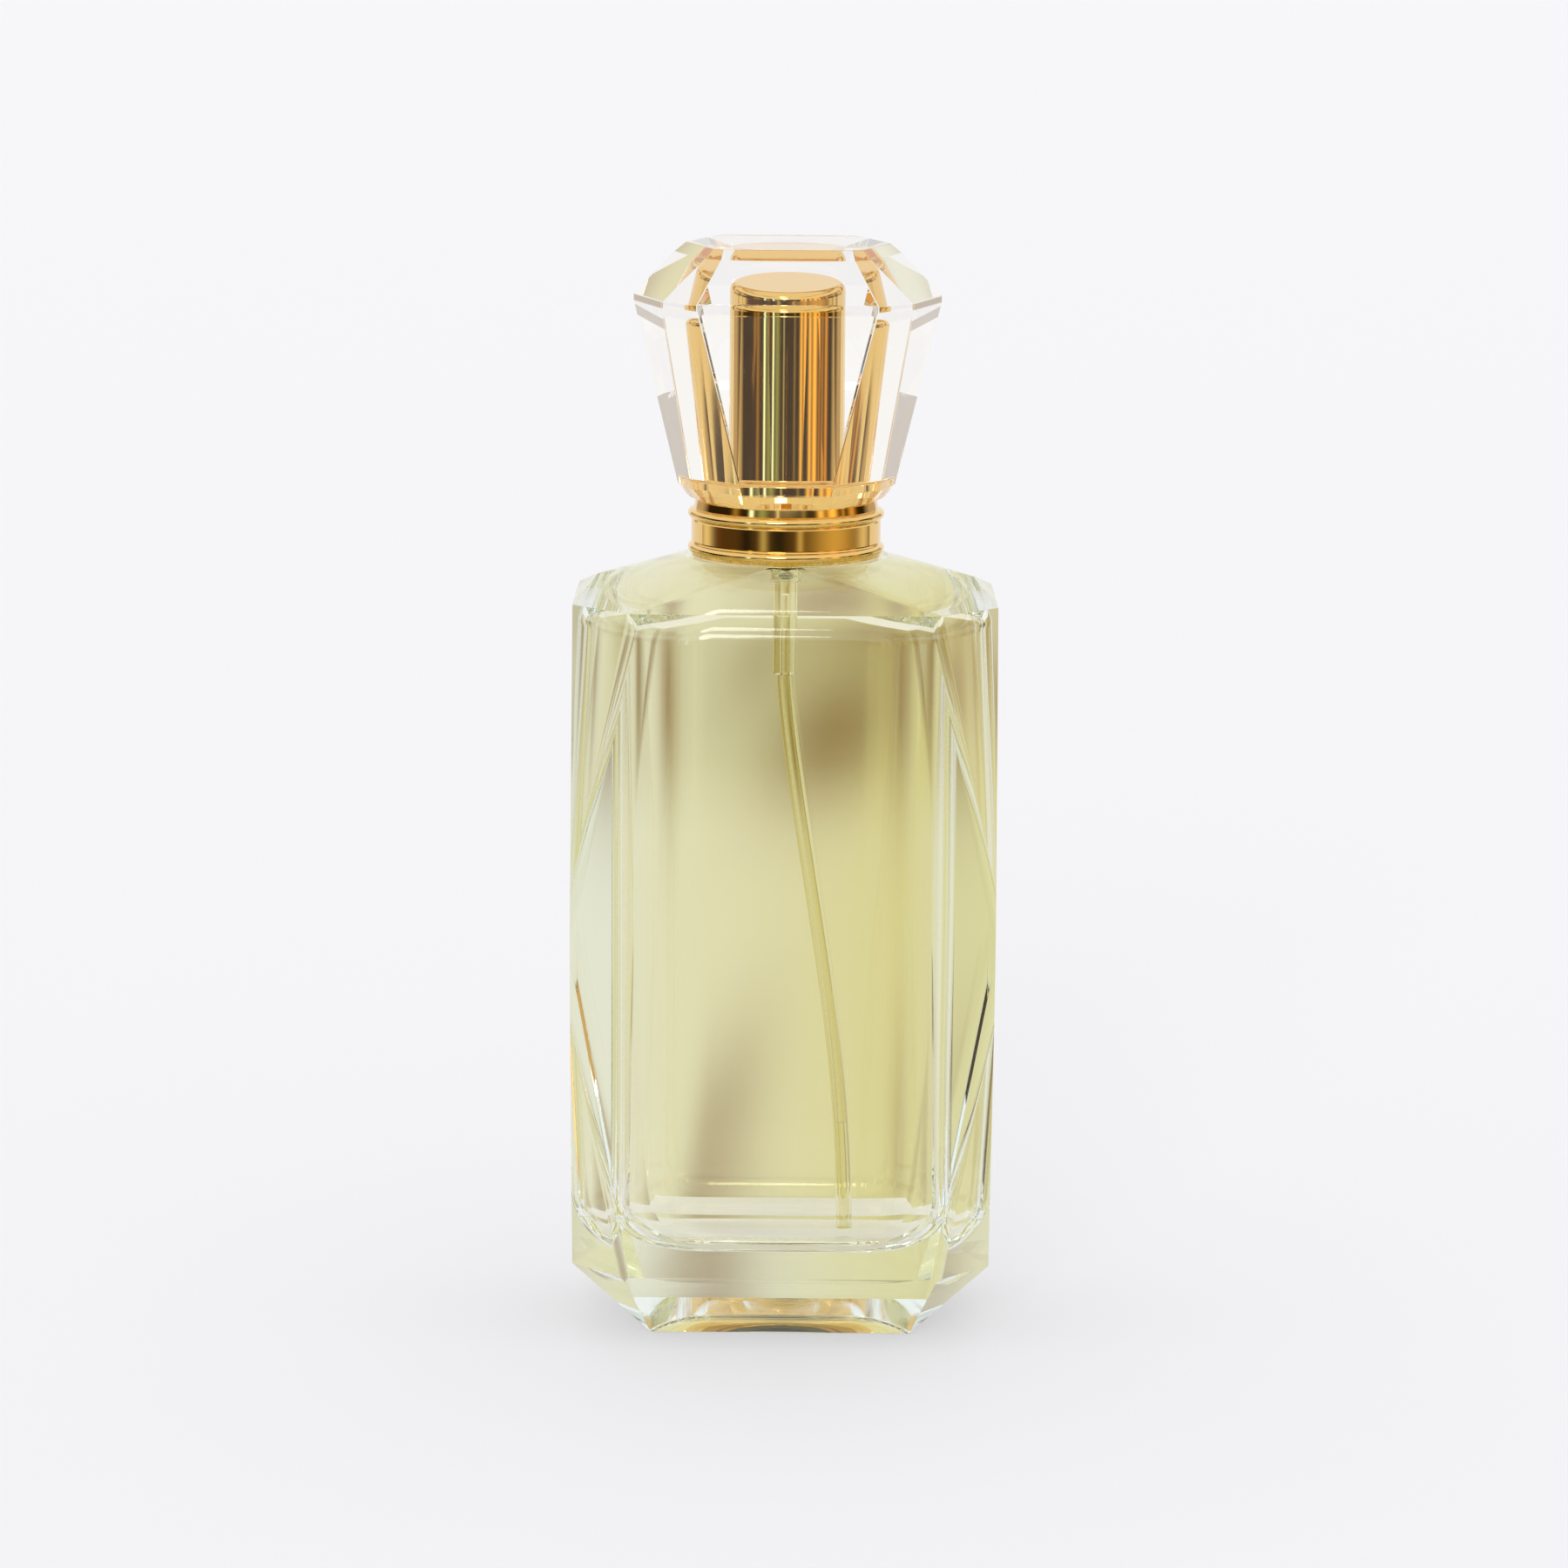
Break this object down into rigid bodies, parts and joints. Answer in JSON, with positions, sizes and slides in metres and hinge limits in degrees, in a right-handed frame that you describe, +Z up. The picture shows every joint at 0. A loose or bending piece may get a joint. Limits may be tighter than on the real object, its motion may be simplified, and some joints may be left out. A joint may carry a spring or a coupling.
{
  "type": "perfume bottle",
  "caption": "Faceted rectangular glass perfume bottle with a crimped spray pump, a dip tube and a clear gem-shaped cap over a gold sleeve.",
  "frame": {"origin": "middle of the foot, on the surface that the bottle stands on", "axes": "+Z up along the neck, -Y to the front panel, +X to the side that the dip tube bends to"},
  "size_m": [0.043, 0.029, 0.112],
  "materials": {
    "glass": "clear polished flint glass",
    "crystal": "clear polished acrylic",
    "perfume": "clear pale yellow liquid",
    "gold": "bright gold anodised aluminium",
    "clear_plastic": "natural translucent polyethylene",
    "white_plastic": "natural white moulded plastic",
    "black_rubber": "moulded seal rubber",
    "steel": "bright stainless steel"
  },
  "bodies": {
    "flacon": {"glass_bottle": "glass", "perfume": "perfume", "dip_tube": "clear_plastic", "pump_housing": "clear_plastic", "neck_gasket": "white_plastic", "stem_guide": "white_plastic", "stem_seal": "black_rubber", "crimp_ferrule": "gold", "collar": "gold", "return_spring": "steel"},
    "plunger": {"pump_stem": "white_plastic", "piston": "white_plastic"},
    "actuator": {"actuator_core": "white_plastic", "actuator_shell": "gold", "spray_insert": "white_plastic"},
    "valve_ball": {"inlet_ball": "steel"},
    "cap": {"cap_crystal": "crystal", "cap_sleeve": "gold", "cap_liner": "white_plastic"}
  },
  "joints": [
    {"name": "actuator_press", "type": "slide", "parent": "flacon", "child": "plunger", "axis": [0, 0, -1], "range_m": [0, 0.0032], "stiffness_N_per_m": 900, "deforming": ["return_spring"]},
    {"name": "actuator_turn", "type": "hinge", "parent": "plunger", "child": "actuator", "pos_m": [0, 0, 0.0926], "axis": [0, 0, 1], "continuous": true},
    {"name": "inlet_ball_lift", "type": "slide", "parent": "flacon", "child": "valve_ball", "axis": [0, 0, 1], "range_m": [0, 0.0006]},
    {"name": "cap_lift", "type": "slide", "parent": "flacon", "child": "cap", "axis": [0, 0, 1], "range_m": [0, 0.03]}
  ]
}
